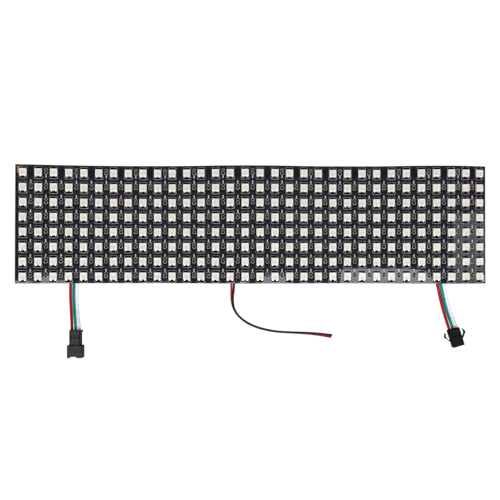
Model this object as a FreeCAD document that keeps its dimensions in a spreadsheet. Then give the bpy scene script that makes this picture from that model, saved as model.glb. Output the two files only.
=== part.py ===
"""A flexible RGB LED matrix panel with its three leads, lying as it comes to rest on a table.

The panel is one thin black circuit sheet with eight rows of thirty-two square LEDs and a small capacitor
beside each. Three leads are soldered to its back along one edge: a three-core lead with a hooded
connector, a red and black power pair with bare ends, and a three-core lead with a latch-arm connector.
The sheet lies in gentle waves, because the leads lift it where they pass under it.

X runs along the LED rows, Y across them towards the first row, and Z up from the table. The origin is on
the table under the middle of the sheet.
"""

import FreeCAD
import Part
import Sketcher
import math
import os
from FreeCAD import Placement, Rotation, Vector

# Driving dimensions, in millimetres, degrees or counts, with what each one is
DIMENSIONS = (
    ("led_columns", 32, "LEDs along a row"),
    ("led_rows", 8, "rows of LEDs"),
    ("led_pitch", 10, "spacing of the LEDs both ways"),
    ("sheet_thickness", 0.25, "flexible circuit with its two black covering films"),
    # How the sheet lies: runs in LED pitches, slopes in degrees
    ("left_slope", 9.5, "how steeply the raised left end comes down"),
    ("left_sag_run", 4.5, "bend that brings the left end down to the table"),
    ("first_rest_run", 1.8, "flat stretch that rests on the table, left of the middle"),
    ("hump_slope", 9.5, "slope at the sides of the middle hump"),
    ("hump_run", 3, "a quarter of the middle hump"),
    ("second_rest_run", 2, "flat stretch that rests on the table, right of the middle"),
    ("crest_slope", 10, "slope up to the right crest"),
    ("crest_foot_run", 2, "bend at the foot of the right crest"),
    ("crest_top_run", 3.2, "bend that levels the right crest"),
    ("right_slope", 17, "how steeply the right edge comes down"),
    ("right_drop_run", 3, "bend from the right crest to the right edge"),
    # One LED package
    ("led_body", 5, "side of the square package"),
    ("led_tall", 1.6, "height of the package"),
    ("led_window", 3.2, "side of the clear window in its top"),
    ("window_depth", 0.3, "how far the window lies below the rim"),
    ("led_standoff", 0.08, "solder under the package's leads"),
    # One chip capacitor
    ("chip_wide", 0.8, "capacitor across its terminals"),
    ("chip_long", 1.6, "capacitor from terminal to terminal"),
    ("chip_tall", 0.8, "height of the capacitor"),
    ("chip_shift", 0.9, "capacitor above the middle of its row"),
    ("chip_standoff", 0.05, "solder under the capacitor"),
    # Leads and the solder that holds them under the sheet
    ("core_diameter", 2.05, "outside diameter of a core of the three-core leads"),
    ("power_diameter", 1.5, "outside diameter of a core of the power pair"),
    ("core_sides", 6, "flat sides that stand for a core's round section"),
    ("pad_thickness", 0.03, "copper pad between the back of the sheet and the solder"),
    ("solder_inset", 4, "edge of the sheet to the near face of the solder"),
    ("solder_long", 3, "solder along the core"),
    ("solder_wide", 1.8, "solder across the core, at the sheet"),
    ("solder_tall", 1.3, "how far the solder stands out from the back of the sheet"),
    ("solder_crown", 0.8, "solder across the core, at its crown"),
    ("solder_tail", 1, "slope of the solder's far end"),
    # Both connectors
    ("ways", 3, "cores in each connector"),
    ("way_pitch", 2.5, "spacing of the cores in the connectors"),
    ("chamber_wide", 2.2, "width of the chamber that each contact sits in"),
    ("chamber_tall", 2.3, "height of that chamber"),
    ("core_entry", 3, "how far a core goes into its chamber"),
    ("crimp_gap", 0.05, "bare conductor between a core's insulation and its contact"),
    ("lance_wide", 1.2, "width of the window over each contact's lance"),
    ("lance_long", 2.4, "length of that window"),
    ("lance_depth", 0.7, "depth of that window"),
    # Hooded connector
    ("hooded_x", -119.6, "middle of its rear face"),
    ("hooded_y", -71.5, "its rear face"),
    ("rear_long", 10.3, "length of the block behind the hood"),
    ("rear_wide", 8, "width of that block at mid height"),
    ("rear_waist", 3.8, "height of that block at full width"),
    ("rear_top_wide", 6.2, "width of its raised middle"),
    ("rear_tall", 5.4, "height over its raised middle"),
    ("hood_long", 8.4, "length of the hood"),
    ("hood_wide", 9.3, "width of the hood between its ribs"),
    ("hood_tall", 6.8, "height of the hood"),
    ("hood_rib", 0.8, "how far the ribs stand out at the hood's sides"),
    ("hood_rib_tall", 4.6, "height of those ribs"),
    ("hood_room_wide", 7.9, "width of the room in the hood"),
    ("hood_room_tall", 5.8, "height of that room"),
    ("hood_floor", 0.9, "wall between that room and the contact chambers"),
    ("side_slot_long", 3.4, "slot in the hood's side for the other connector's latch"),
    ("side_slot_tall", 3.4, "height of that slot"),
    ("hood_notch_wide", 4, "notch in the top of the hood's mouth"),
    ("hood_notch_long", 0.8, "depth of that notch along the hood"),
    ("hood_notch_shift", -0.9, "notch from the middle of the hood"),
    ("stop_lip", 0.5, "lip that stands out at one rear corner"),
    ("stop_lip_long", 1.4, "length of that lip"),
    # Latch-arm connector
    ("latch_x", 136.1, "middle of its rear face"),
    ("latch_y", -70.6, "middle of its rear face"),
    ("latch_turn", 17, "how far it lies turned"),
    ("plug_long", 12.2, "length of its block"),
    ("plug_wide", 7.8, "width of its block"),
    ("plug_tall", 5.4, "height of its block"),
    ("plug_front_wall", 0.9, "front wall that stops the contacts"),
    ("mate_hole", 1.1, "side of the holes in that wall"),
    ("arm_tall", 3.2, "height of a latch arm"),
    ("arm_thick", 0.9, "thickness of a latch arm at its root"),
    ("arm_root", 7.6, "middle of an arm's root from the rear face"),
    ("arm_elbow", 4.1, "an arm's elbow from the rear face"),
    ("arm_reach", 3.5, "an arm's elbow out from the block's side"),
    ("arm_tip", 1.5, "an arm's tip from the rear face"),
    ("arm_tip_reach", 2.3, "an arm's tip out from the block's side"),
    ("arm_elbow_thick", 1.1, "thickness of a latch arm at its elbow"),
    ("arm_tip_thick", 0.35, "thickness of a latch arm at its tip"),
    # Crimped contacts
    ("barrel_wide", 1.9, "width of a contact's barrel"),
    ("barrel_tall", 2.1, "height of a contact's barrel"),
    ("pin_side", 0.64, "side of a square pin"),
    ("pin_long", 6.2, "pin ahead of its barrel"),
    ("socket_bore", 0.8, "side of a socket's bore"),
    ("socket_depth", 6, "depth of a socket's bore"),
)

# Routes of the cores, from the solder to the crimp, or to the bare end of the power pair
HOODED_RED = [(-123.4, -36, 2.45), (-123.4, -41.5, 2.45), (-123.8, -50.5, 1.08), (-123.05, -61.5, 1.15),
              (-122.1, -69.9, 3.4), (-122.1, -74.5, 3.4)]
HOODED_GREEN = [(-121.25, -36, 2.12), (-121.25, -41.5, 2.12), (-121.65, -50.5, 1.08), (-120.8, -61.5, 1.15),
                (-119.6, -69.9, 3.4), (-119.6, -74.5, 3.4)]
HOODED_WHITE = [(-119.1, -36, 1.8), (-119.1, -41.5, 1.8), (-119.5, -50.5, 1.08), (-118.55, -61.5, 1.15),
                (-117.1, -69.9, 3.4), (-117.1, -74.5, 3.4)]
LATCH_RED = [(124.3, -36, 3.35), (125.65, -41.5, 3.35), (127.7, -49.7, 1.4), (130.35, -59.7, 1.08),
             (133.07, -69.23, 2.7), (134.59, -74.2, 2.7)]
LATCH_GREEN = [(126.75, -36, 3.4), (128, -41.5, 3.4), (129.95, -49.7, 1.4), (132.5, -59.4, 1.08),
               (135.46, -68.5, 2.7), (136.98, -73.47, 2.7)]
LATCH_WHITE = [(129, -36, 3.4), (130.25, -41.5, 3.4), (132.2, -49.7, 1.4), (134.75, -59.1, 1.08),
               (137.85, -67.77, 2.7), (139.37, -72.74, 2.7)]
POWER_BLACK = [(-12.7, -36, 3.84), (-12.7, -42.5, 3.84), (-13.2, -50.5, 2.9), (-12, -58.5, 2.5),
               (-6, -65.3, 2.45), (3, -69.9, 2.45), (15.5, -72.6, 2.4), (30, -73.4, 2.35),
               (44, -73.9, 2.2), (55.1, -75.3, 2)]
POWER_RED = [(-14.3, -36, 3.74), (-14.3, -42.5, 3.74), (-14.6, -50.6, 1.95), (-12.7, -58.8, 1),
             (-6.2, -65.6, 0.82), (2.9, -70.1, 0.8), (15.4, -72.9, 0.8), (29.9, -74, 0.82),
             (43.9, -74.8, 0.82), (55, -76.5, 0.8)]

ARC_SHARE = 0.45  # how much of the shorter run each arc of a route takes up
FOUND = 1e-6  # how closely a place along the sheet is found
PARTS_FOLDER = "parts"

document = FreeCAD.newDocument("led_matrix_panel")
sheet = document.addObject("Spreadsheet::Sheet", "Sizes")
for row, (alias, value, meaning) in enumerate(DIMENSIONS, start=1):
    sheet.set(f"A{row}", meaning)
    sheet.set(f"B{row}", str(value))
    sheet.setAlias(f"B{row}", alias)
document.recompute()


def size(alias):
    """A driving dimension, as the spreadsheet holds it."""
    return float(sheet.get(alias))


# How the sheet lies


class LyingSheet:
    """The back of the sheet along X: straight runs and arcs, each tangent to the one before."""

    def __init__(self):
        pitch = size("led_pitch")
        bends = [
            (size("left_sag_run"), size("left_slope")),
            (size("first_rest_run"), 0),
            (size("hump_run"), size("hump_slope")),
            (2 * size("hump_run"), -2 * size("hump_slope")),
            (size("hump_run"), size("hump_slope")),
            (size("second_rest_run"), 0),
            (size("crest_foot_run"), size("crest_slope")),
            (size("crest_top_run"), -size("crest_slope")),
            (size("right_drop_run"), -size("right_slope")),
        ]
        left_run = size("led_columns") - sum(run for run, turn in bends)
        self.stretches = []
        place = Vector(0, 0, 0)
        slope = -math.radians(size("left_slope"))
        for run, turn in [(left_run, 0)] + bends:
            stretch = (place, slope, run * pitch, math.radians(turn))
            self.stretches.append(stretch)
            place = self.within(stretch, run * pitch)
            slope += math.radians(turn)
        lowest = min(start.z for start, slope, length, turn in self.stretches)
        shift = Vector(-place.x / 2, 0, -lowest)
        self.stretches = [(start + shift, slope, length, turn)
                          for start, slope, length, turn in self.stretches]

    def within(self, stretch, distance, offset=0):
        """The point at a distance along one stretch, an offset out from the back of the sheet."""
        start, slope, length, turn = stretch
        end_slope = slope + turn * distance / length
        if turn:
            radius = length / turn
            step = Vector(math.sin(end_slope) - math.sin(slope), 0, math.cos(slope) - math.cos(end_slope))
            point = start + step * radius
        else:
            point = start + Vector(math.cos(slope), 0, math.sin(slope)) * distance
        return point + Vector(-math.sin(end_slope), 0, math.cos(end_slope)) * offset

    def seat(self, along, across, offset):
        """The place and tilt of a piece that stands on the sheet."""
        for stretch in self.stretches:
            start, slope, length, turn = stretch
            if along <= length or stretch is self.stretches[-1]:
                break
            along -= length
        point = self.within(stretch, along, offset)
        tilt = math.degrees(slope + turn * along / length)
        return Placement(point + Vector(0, across, 0), Rotation(Vector(0, 1, 0), -tilt))

    def edges(self, offset):
        """Sketch lines and arcs of one face of the sheet, from left to right."""
        drawn = []
        for stretch in self.stretches:
            length, turn = stretch[2:]
            start, middle, end = (self.within(stretch, length * share, offset) for share in (0, 0.5, 1))
            flat = [Vector(point.x, point.z, 0) for point in (start, middle, end)]
            drawn.append(Part.Arc(*flat) if turn else Part.LineSegment(flat[0], flat[2]))
        return drawn

    def along_at(self, x):
        """The distance along the sheet at which its back is at x."""
        low, high = 0, sum(length for start, slope, length, turn in self.stretches)
        while high - low > FOUND:
            middle = (low + high) / 2
            if self.seat(middle, 0, 0).Base.x < x:
                low = middle
            else:
                high = middle
        return low


# Sketches and features


def body_named(label):
    body = document.addObject("PartDesign::Body", label)
    body.Label = label
    return body


def sketch_on(body, name, plane_role, offset="0"):
    """A sketch on one of the body's own planes. On XZ_Plane it faces -Y, so an offset goes that way."""
    sketch = body.newObject("Sketcher::SketchObject", name)
    plane = next(item for item in body.Origin.OriginFeatures if item.Role == plane_role)
    sketch.AttachmentSupport = (plane, [""])
    sketch.MapMode = "FlatFace"
    sketch.setExpression("AttachmentOffset.Base.z", offset)
    return sketch


def add_rectangle(sketch, left, bottom, width, height):
    """A rectangle whose corner and sides are expressions of the spreadsheet."""
    x, y, wide, tall = (float(sketch.evalExpression(text)) for text in (left, bottom, width, height))
    right, top = x + wide, y + tall
    corners = [Vector(x, y, 0), Vector(right, y, 0), Vector(right, top, 0), Vector(x, top, 0)]
    first = sketch.GeometryCount
    for start, end in zip(corners, corners[1:] + corners[:1]):
        sketch.addGeometry(Part.LineSegment(start, end))
    for side in range(4):
        sketch.addConstraint(Sketcher.Constraint("Coincident", first + side, 2, first + (side + 1) % 4, 1))
        direction = "Vertical" if side % 2 else "Horizontal"
        sketch.addConstraint(Sketcher.Constraint(direction, first + side))
    for direction, ends, text, value in (
        ("DistanceX", (-1, 1, first, 1), left, x),
        ("DistanceY", (-1, 1, first, 1), bottom, y),
        ("DistanceX", (first, 1, first, 2), width, wide),
        ("DistanceY", (first + 1, 1, first + 1, 2), height, tall),
    ):
        number = sketch.addConstraint(Sketcher.Constraint(direction, *ends, value))
        sketch.setExpression(f"Constraints[{number}]", text)


def pad(body, name, sketch, length, symmetric=False):
    feature = body.newObject("PartDesign::Pad", name)
    feature.Profile = sketch
    feature.setExpression("Length", length)
    if symmetric:
        feature.SideType = "Symmetric"
    return feature


def pocket(body, name, sketch, depth, along_normal=False):
    """A cut against the sketch's normal, or along it."""
    feature = body.newObject("PartDesign::Pocket", name)
    feature.Profile = sketch
    feature.setExpression("Length", depth)
    feature.Reversed = along_normal
    return feature


def repeat_for_ways(body, name, feature, sketch):
    """Repeats a cut across the connector, once for each core."""
    pattern = body.newObject("PartDesign::LinearPattern", name)
    pattern.Originals = [feature]
    pattern.Direction = (sketch, ["H_Axis"])
    pattern.setExpression("Length", "(Sizes.ways - 1) * Sizes.way_pitch")
    pattern.setExpression("Occurrences", "Sizes.ways")
    body.Tip = pattern


def group(label, master, places):
    """Like pieces as one group of separate solids."""
    feature = document.addObject("Part::Feature", label)
    feature.Label = label
    turned_in = master.Placement.inverse()
    loose = master.Shape.transformed(turned_in.toMatrix())
    feature.Shape = Part.Compound([loose.transformed(place.toMatrix()) for place in places])
    return feature


# The circuit sheet


def make_circuit(lying):
    """One thin sheet, drawn edge-on as it lies and drawn out to its full width."""
    body = body_named("flex_circuit")
    sketch = sketch_on(body, "sheet_edge", "XZ_Plane")
    back = lying.edges(0)
    front = lying.edges(size("sheet_thickness"))
    for drawn in back + front:
        sketch.addGeometry(drawn)
    for drawn_back, drawn_front in ((back[0].StartPoint, front[0].StartPoint),
                                    (back[-1].EndPoint, front[-1].EndPoint)):
        sketch.addGeometry(Part.LineSegment(drawn_back, drawn_front))
    pad(body, "sheet", sketch, "Sizes.led_rows * Sizes.led_pitch", symmetric=True)
    return body


# LEDs and capacitors


def make_led():
    """A square package whose clear window lies a little below its pale rim."""
    body = body_named("led_package")
    outline = sketch_on(body, "led_outline", "XY_Plane")
    add_rectangle(outline, "-Sizes.led_body / 2", "-Sizes.led_body / 2", "Sizes.led_body", "Sizes.led_body")
    pad(body, "led_block", outline, "Sizes.led_tall")
    window = sketch_on(body, "led_window_outline", "XY_Plane", "Sizes.led_tall")
    add_rectangle(window, "-Sizes.led_window / 2", "-Sizes.led_window / 2",
                  "Sizes.led_window", "Sizes.led_window")
    pocket(body, "led_window_recess", window, "Sizes.window_depth")
    return body


def make_chip_capacitor():
    body = body_named("chip_capacitor")
    outline = sketch_on(body, "chip_outline", "XY_Plane")
    add_rectangle(outline, "-Sizes.chip_wide / 2", "-Sizes.chip_long / 2", "Sizes.chip_wide",
                  "Sizes.chip_long")
    pad(body, "chip_block", outline, "Sizes.chip_tall")
    return body


def row_height(row):
    """Y of a row of LEDs, the first row being the far one."""
    return ((size("led_rows") - 1) / 2 - row) * size("led_pitch")


def place_leds(lying, led):
    offset = size("sheet_thickness") + size("led_standoff")
    pitch = size("led_pitch")
    middles = [(column + 0.5) * pitch for column in range(int(size("led_columns")))]
    rows = []
    for row in range(int(size("led_rows"))):
        places = [lying.seat(middle, row_height(row), offset) for middle in middles]
        rows.append(group(f"led_row_{row + 1}", led, places))
    return rows


def place_capacitors(lying, chip):
    """A capacitor in each gap between two LEDs, but only in every other gap of the first row."""
    offset = size("sheet_thickness") + size("chip_standoff")
    rows = []
    for row in range(int(size("led_rows"))):
        gaps = range(1, int(size("led_columns")))
        if row == 0:
            gaps = gaps[1::2]
        across = row_height(row) + size("chip_shift")
        places = [lying.seat(gap * size("led_pitch"), across, offset) for gap in gaps]
        rows.append(group(f"capacitor_row_{row + 1}", chip, places))
    return rows


# Cores and their solder


def make_solder():
    """A mound with an upright face where the core comes in and three sloping sides."""
    mound = document.addObject("Part::Wedge", "solder_mound")
    for corner, text in (
        ("Xmin", "-Sizes.solder_wide / 2"),
        ("Xmax", "Sizes.solder_wide / 2"),
        ("X2min", "-Sizes.solder_crown / 2"),
        ("X2max", "Sizes.solder_crown / 2"),
        ("Ymin", "0"),
        ("Ymax", "Sizes.solder_tall"),
        ("Zmin", "0"),
        ("Zmax", "Sizes.solder_long"),
        ("Z2min", "0"),
        ("Z2max", "Sizes.solder_long - Sizes.solder_tail"),
    ):
        mound.setExpression(corner, text)
    return mound


def place_solder(label, lying, mound, routes):
    """One mound on the back of the sheet at the end of each core, in line with its first run."""
    edge = -size("led_rows") * size("led_pitch") / 2
    places = []
    for route in routes:
        seat = lying.seat(lying.along_at(route[0][0]), edge + size("solder_inset"), -size("pad_thickness"))
        down = seat.Rotation.multVec(Vector(0, 0, -1))
        back_along_core = Vector(*route[0]) - Vector(*route[1])
        foot = Vector(route[0][0], seat.Base.y, seat.Base.z)
        places.append(Placement(foot, Rotation(Vector(), down, back_along_core, "ZYX")))
    return group(label, mound, places)


def tangent_path(name, route):
    """Straight runs through the route's points, joined by arcs as large as the runs allow."""
    points = [Vector(*point) for point in route]
    edges = []
    radii = []
    start = points[0]
    for before, corner, after in zip(points, points[1:], points[2:]):
        arriving = corner - before
        leaving = after - corner
        shorter = min(arriving.Length, leaving.Length)
        turn = arriving.getAngle(leaving)
        cut = ARC_SHARE * shorter
        radii.append(cut / math.tan(turn / 2))
        arriving.normalize()
        leaving.normalize()
        arc_start = corner - arriving * cut
        arc_end = corner + leaving * cut
        inward = (leaving - arriving).normalize()
        sagitta_point = corner + inward * (radii[-1] / math.cos(turn / 2) - radii[-1])
        edges.append(Part.LineSegment(start, arc_start).toShape())
        edges.append(Part.Arc(arc_start, sagitta_point, arc_end).toShape())
        start = arc_end
    edges.append(Part.LineSegment(start, points[-1]).toShape())
    path = document.addObject("Part::Feature", name)
    path.Shape = Part.Wire(edges)
    print(f"{name}: length {path.Shape.Length:.1f}, radii", " ".join(f"{radius:.0f}" for radius in radii))
    return path


def make_core(label, route, diameter):
    """One insulated core, plain: a section with a few flat sides swept along its route."""
    path = tangent_path(f"{label}_path", route)
    section = document.addObject("Part::RegularPolygon", f"{label}_section")
    section.setExpression("Polygon", "Sizes.core_sides")
    section.setExpression("Circumradius", f"{diameter} / 2")
    heading = Vector(*route[1]) - Vector(*route[0])
    section.Placement = Placement(Vector(*route[0]), Rotation(Vector(0, 0, 1), heading))
    core = document.addObject("Part::Sweep", label)
    core.Label = label
    core.Sections = [section]
    core.Spine = (path, [])
    core.Solid = True
    return core


# Connectors, drawn with the rear face at Y = 0 and the mouth towards -Y


def cut_chambers(body, middle, length):
    """The row of chambers that the contacts sit in, open at the rear."""
    sketch = sketch_on(body, f"{body.Label}_chamber_outline", "XZ_Plane")
    add_rectangle(sketch, "-(Sizes.ways - 1) * Sizes.way_pitch / 2 - Sizes.chamber_wide / 2",
                  f"{middle} - Sizes.chamber_tall / 2", "Sizes.chamber_wide", "Sizes.chamber_tall")
    chamber = pocket(body, f"{body.Label}_chamber", sketch, length, along_normal=True)
    repeat_for_ways(body, f"{body.Label}_chambers", chamber, sketch)


def cut_lance_windows(body, top):
    """The small windows in the top, over the lance that holds each contact."""
    sketch = sketch_on(body, f"{body.Label}_lance_outline", "XY_Plane", top)
    add_rectangle(sketch, "-(Sizes.ways - 1) * Sizes.way_pitch / 2 - Sizes.lance_wide / 2",
                  "-Sizes.core_entry - Sizes.lance_long", "Sizes.lance_wide", "Sizes.lance_long")
    window = pocket(body, f"{body.Label}_lance", sketch, "Sizes.lance_depth")
    repeat_for_ways(body, f"{body.Label}_lances", window, sketch)


def make_hooded_housing():
    """A stepped block behind, and ahead of it a hood with an open mouth, ribs, side slots and a notch."""
    body = body_named("hooded_connector_housing")
    middle = "Sizes.hood_tall / 2"
    overall = "(Sizes.rear_long + Sizes.hood_long)"

    def bar(name, offset, width, height, length):
        sketch = sketch_on(body, f"{name}_outline", "XZ_Plane", offset)
        add_rectangle(sketch, f"-{width} / 2", f"{middle} - {height} / 2", width, height)
        pad(body, name, sketch, length)

    bar("rear_middle", "0", "Sizes.rear_top_wide", "Sizes.rear_tall", "Sizes.rear_long")
    bar("rear_shoulders", "0", "Sizes.rear_wide", "Sizes.rear_waist", "Sizes.rear_long")
    bar("hood", "Sizes.rear_long", "Sizes.hood_wide", "Sizes.hood_tall", "Sizes.hood_long")
    bar("hood_ribs", "Sizes.rear_long", "(Sizes.hood_wide + 2 * Sizes.hood_rib)", "Sizes.hood_rib_tall",
        "Sizes.hood_long")

    lip = sketch_on(body, "stop_lip_outline", "XZ_Plane")
    add_rectangle(lip, "Sizes.rear_top_wide / 2", f"{middle} - Sizes.rear_waist / 2",
                  "(Sizes.rear_wide - Sizes.rear_top_wide) / 2 + Sizes.stop_lip", "Sizes.rear_waist")
    pad(body, "stop_lip", lip, "Sizes.stop_lip_long")

    room = sketch_on(body, "hood_room_outline", "XZ_Plane", overall)
    add_rectangle(room, "-Sizes.hood_room_wide / 2", f"{middle} - Sizes.hood_room_tall / 2",
                  "Sizes.hood_room_wide", "Sizes.hood_room_tall")
    pocket(body, "hood_room", room, "Sizes.hood_long - Sizes.hood_floor")

    slot = sketch_on(body, "side_slot_outline", "YZ_Plane", "-(Sizes.hood_wide / 2 + Sizes.hood_rib)")
    add_rectangle(slot, f"-{overall}", f"{middle} - Sizes.side_slot_tall / 2",
                  "Sizes.side_slot_long", "Sizes.side_slot_tall")
    pocket(body, "side_slots", slot, "Sizes.hood_wide + 2 * Sizes.hood_rib", along_normal=True)

    notch = sketch_on(body, "hood_notch_outline", "XY_Plane", "Sizes.hood_tall")
    add_rectangle(notch, "Sizes.hood_notch_shift - Sizes.hood_notch_wide / 2", f"-{overall}",
                  "Sizes.hood_notch_wide", "Sizes.hood_notch_long")
    pocket(body, "hood_notch", notch, "(Sizes.hood_tall - Sizes.hood_room_tall) / 2")

    cut_chambers(body, middle, "Sizes.rear_long + Sizes.hood_floor")
    cut_lance_windows(body, f"{middle} + Sizes.rear_tall / 2")
    body.setExpression("Placement.Base.x", "Sizes.hooded_x")
    body.setExpression("Placement.Base.y", "Sizes.hooded_y")
    return body


def draw_latch_arm(sketch):
    """The arm at the +X side: out from its root to the elbow, then back in to the tip."""
    side = size("plug_wide") / 2
    root_front = Vector(side, -size("arm_root") - size("arm_thick"), 0)
    root_back = Vector(side, -size("arm_root") + size("arm_thick") / 2, 0)
    elbow = Vector(side + size("arm_reach"), -size("arm_elbow"), 0)
    tip = Vector(side + size("arm_tip_reach"), -size("arm_tip"), 0)
    elbow_inner = elbow - Vector(size("arm_elbow_thick"), 0, 0)
    tip_inner = tip - Vector(size("arm_tip_thick"), 0, 0)
    for edge in (
        Part.LineSegment(root_front, elbow),
        Part.LineSegment(elbow, tip),
        Part.LineSegment(tip, tip_inner),
        Part.Arc(tip_inner, elbow_inner, root_back),
        Part.LineSegment(root_back, root_front),
    ):
        sketch.addGeometry(edge)


def make_latch_housing():
    """A plain block with a springy arm at each side, which flares out and points back along the lead."""
    body = body_named("latch_connector_housing")
    middle = "Sizes.plug_tall / 2"
    block = sketch_on(body, "plug_outline", "XZ_Plane")
    add_rectangle(block, "-Sizes.plug_wide / 2", f"{middle} - Sizes.plug_tall / 2", "Sizes.plug_wide",
                  "Sizes.plug_tall")
    pad(body, "plug_block", block, "Sizes.plug_long")

    arm = sketch_on(body, "arm_outline", "XY_Plane", f"{middle} - Sizes.arm_tall / 2")
    draw_latch_arm(arm)
    arm_pad = pad(body, "latch_arm", arm, "Sizes.arm_tall")
    mirror = body.newObject("PartDesign::Mirrored", "latch_arms")
    mirror.Originals = [arm_pad]
    mirror.MirrorPlane = (arm, ["V_Axis"])
    body.Tip = mirror

    cut_chambers(body, middle, "Sizes.plug_long - Sizes.plug_front_wall")
    mate = sketch_on(body, "mate_hole_outline", "XZ_Plane", "Sizes.plug_long")
    add_rectangle(mate, "-(Sizes.ways - 1) * Sizes.way_pitch / 2 - Sizes.mate_hole / 2",
                  f"{middle} - Sizes.mate_hole / 2", "Sizes.mate_hole", "Sizes.mate_hole")
    hole = pocket(body, "mate_hole", mate, "Sizes.plug_front_wall")
    repeat_for_ways(body, "mate_holes", hole, mate)
    cut_lance_windows(body, "Sizes.plug_tall")
    body.setExpression("Placement.Base.x", "Sizes.latch_x")
    body.setExpression("Placement.Base.y", "Sizes.latch_y")
    body.setExpression("Placement.Rotation.Angle", "Sizes.latch_turn")
    return body


# Contacts, drawn from the end of the core's insulation towards -Y


def make_pin_contact():
    """A crimped barrel with a square pin ahead of it."""
    body = body_named("pin_contact")
    barrel = sketch_on(body, "pin_barrel_outline", "XZ_Plane")
    add_rectangle(barrel, "-Sizes.barrel_wide / 2", "-Sizes.barrel_tall / 2", "Sizes.barrel_wide",
                  "Sizes.barrel_tall")
    length = "(Sizes.rear_long + Sizes.hood_floor - Sizes.core_entry - Sizes.crimp_gap)"
    pad(body, "pin_barrel", barrel, length)
    pin = sketch_on(body, "pin_outline", "XZ_Plane", length)
    add_rectangle(pin, "-Sizes.pin_side / 2", "-Sizes.pin_side / 2", "Sizes.pin_side", "Sizes.pin_side")
    pad(body, "pin", pin, "Sizes.pin_long")
    return body


def make_socket_contact():
    """A crimped barrel with a square bore in its front."""
    body = body_named("socket_contact")
    length = "(Sizes.plug_long - Sizes.plug_front_wall - Sizes.core_entry - Sizes.crimp_gap)"
    barrel = sketch_on(body, "socket_barrel_outline", "XZ_Plane")
    add_rectangle(barrel, "-Sizes.barrel_wide / 2", "-Sizes.barrel_tall / 2", "Sizes.barrel_wide",
                  "Sizes.barrel_tall")
    pad(body, "socket_barrel", barrel, length)
    bore = sketch_on(body, "socket_bore_outline", "XZ_Plane", length)
    add_rectangle(bore, "-Sizes.socket_bore / 2", "-Sizes.socket_bore / 2", "Sizes.socket_bore",
                  "Sizes.socket_bore")
    pocket(body, "socket_bore", bore, "Sizes.socket_depth")
    return body


def place_contacts(label, contact, housing, middle):
    """One contact in each chamber of a housing."""
    ways = int(size("ways"))
    start = -size("core_entry") - size("crimp_gap")
    places = []
    for way in range(ways):
        x = (way - (ways - 1) / 2) * size("way_pitch")
        places.append(housing.Placement.multiply(Placement(Vector(x, start, middle), Rotation())))
    return group(label, contact, places)


def check(pieces):
    """Stops the script if any feature failed or any piece isn't made of sound, closed solids."""
    for item in document.Objects:
        if "Invalid" in item.State or "Error" in item.State:
            raise RuntimeError(f"{item.Label} failed: {item.State}")
    for piece in pieces:
        shape = piece.Shape
        if shape.isNull() or not shape.isValid() or not shape.Solids:
            raise RuntimeError(f"{piece.Label} has no sound shape")


def main():
    lying = LyingSheet()
    led = make_led()
    chip = make_chip_capacitor()
    mound = make_solder()
    pin = make_pin_contact()
    socket = make_socket_contact()
    circuit = make_circuit(lying)
    hooded = make_hooded_housing()
    latch = make_latch_housing()
    document.recompute()

    pieces = [circuit, hooded, latch]
    pieces += place_leds(lying, led)
    pieces += place_capacitors(lying, chip)
    leads = {
        "hooded_lead": (("red", HOODED_RED), ("green", HOODED_GREEN), ("white", HOODED_WHITE)),
        "latch_lead": (("red", LATCH_RED), ("green", LATCH_GREEN), ("white", LATCH_WHITE)),
        "power_lead": (("red", POWER_RED), ("black", POWER_BLACK)),
    }
    for lead, cores in leads.items():
        diameter = "Sizes.power_diameter" if lead == "power_lead" else "Sizes.core_diameter"
        for colour, route in cores:
            pieces.append(make_core(f"{lead}_{colour}_core", route, diameter))
        pieces.append(place_solder(f"{lead}_solder", lying, mound, [route for colour, route in cores]))
    pieces.append(place_contacts("hooded_connector_pins", pin, hooded, size("hood_tall") / 2))
    pieces.append(place_contacts("latch_connector_sockets", socket, latch, size("plug_tall") / 2))
    document.recompute()

    check(pieces)
    os.makedirs(PARTS_FOLDER, exist_ok=True)
    for piece in pieces:
        piece.Shape.exportStep(os.path.join(PARTS_FOLDER, f"{piece.Label}.step"))
    print(f"{len(pieces)} pieces, {sum(len(piece.Shape.Solids) for piece in pieces)} solids")


main()
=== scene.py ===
import math

import bmesh
import bpy
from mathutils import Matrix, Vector


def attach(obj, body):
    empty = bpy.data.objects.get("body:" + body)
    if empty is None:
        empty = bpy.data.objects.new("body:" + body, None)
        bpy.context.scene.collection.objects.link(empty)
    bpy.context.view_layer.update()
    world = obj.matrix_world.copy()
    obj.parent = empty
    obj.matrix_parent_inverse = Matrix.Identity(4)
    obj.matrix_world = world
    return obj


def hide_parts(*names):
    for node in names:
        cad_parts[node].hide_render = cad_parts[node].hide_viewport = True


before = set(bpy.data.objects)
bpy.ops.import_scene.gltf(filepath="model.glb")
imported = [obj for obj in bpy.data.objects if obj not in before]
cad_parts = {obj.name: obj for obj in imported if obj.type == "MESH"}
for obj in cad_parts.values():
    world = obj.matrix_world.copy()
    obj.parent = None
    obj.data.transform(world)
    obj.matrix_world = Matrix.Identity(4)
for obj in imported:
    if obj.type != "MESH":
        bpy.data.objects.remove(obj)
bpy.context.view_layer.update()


# The circuit sheet
# A black film circuit with etched copper under a glossy cover film. It is shipped rolled up, so it lies
# in long gentle waves. All that sits on it is drawn flat, and then laid over the same waves.

MM = 0.001
PITCH = 10 * MM
COLUMNS = 32
ROWS = 8
SHEET_THICK = 0.25 * MM
HALF_LED = 2.5 * MM

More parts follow.
